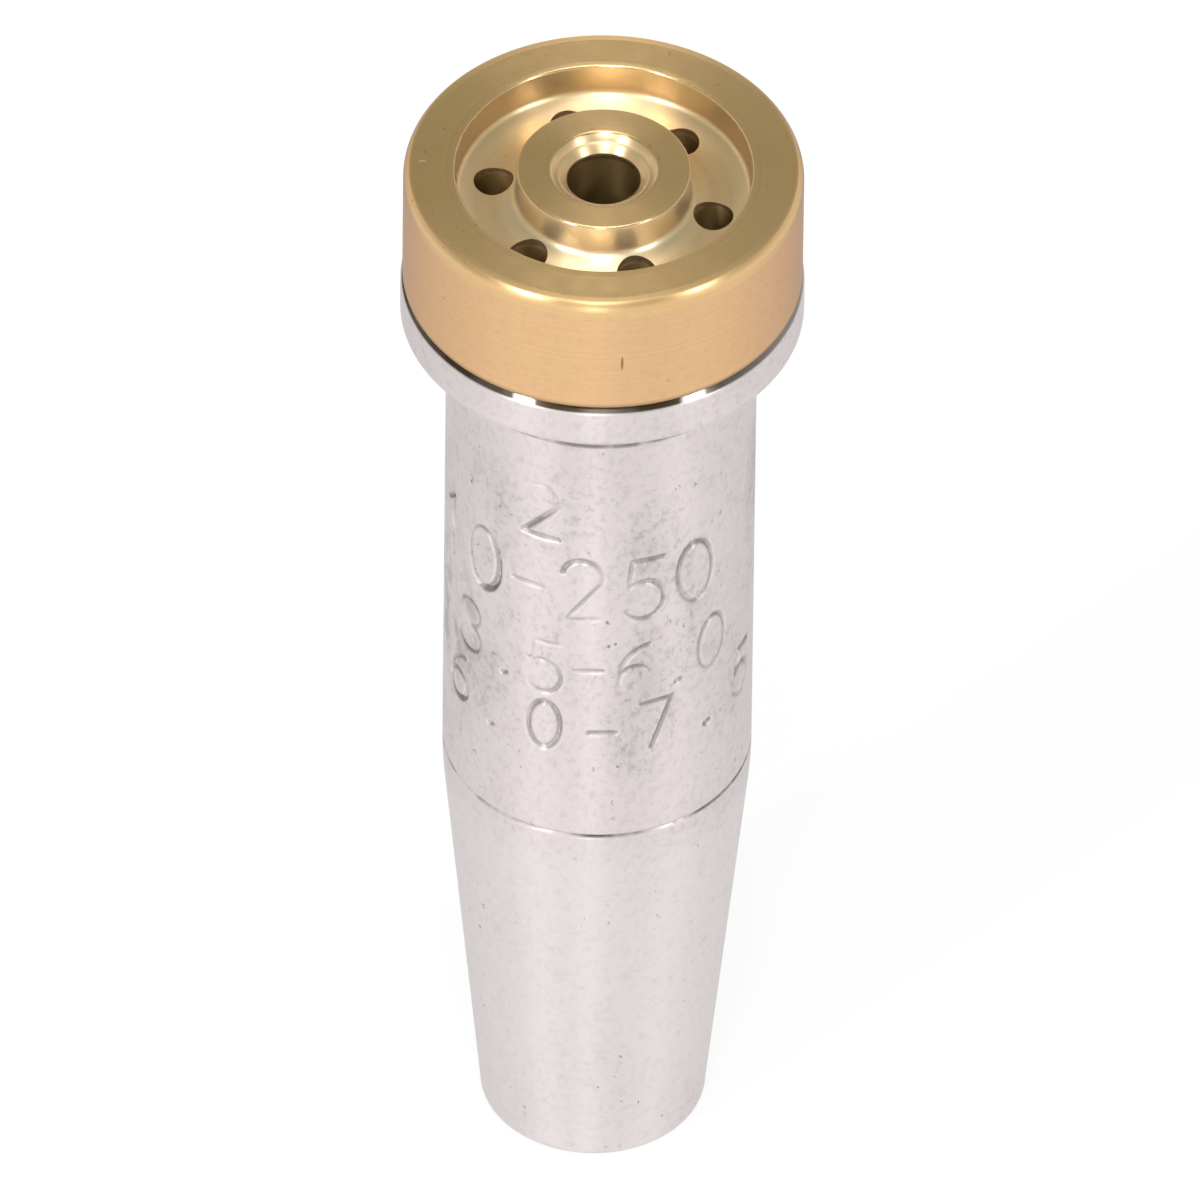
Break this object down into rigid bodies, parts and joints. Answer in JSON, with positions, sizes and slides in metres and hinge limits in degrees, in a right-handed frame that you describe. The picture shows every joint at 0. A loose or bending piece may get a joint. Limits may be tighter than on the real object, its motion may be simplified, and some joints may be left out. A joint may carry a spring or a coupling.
{
  "type": "oxy fuel cutting tip",
  "caption": "Flat-seat oxy-fuel cutting tip: a plated shell with a flange and tapered end, and a brass core with a ring groove, gas holes and a central oxygen bore.",
  "frame": {"origin": "centre of the lower end face, where the flames leave", "axes": "+Z along the tip's axis towards the head, and -Y towards the side that carries the punched numerals"},
  "size_m": [0.021, 0.021, 0.066],
  "materials": {
    "plated_copper": "bright chrome plating on copper, with fine pits and cloudy stains",
    "turned_brass": "fine turned brass"
  },
  "bodies": {
    "root": {"outer_shell": "plated_copper", "inner_core": "turned_brass"}
  },
  "joints": []
}
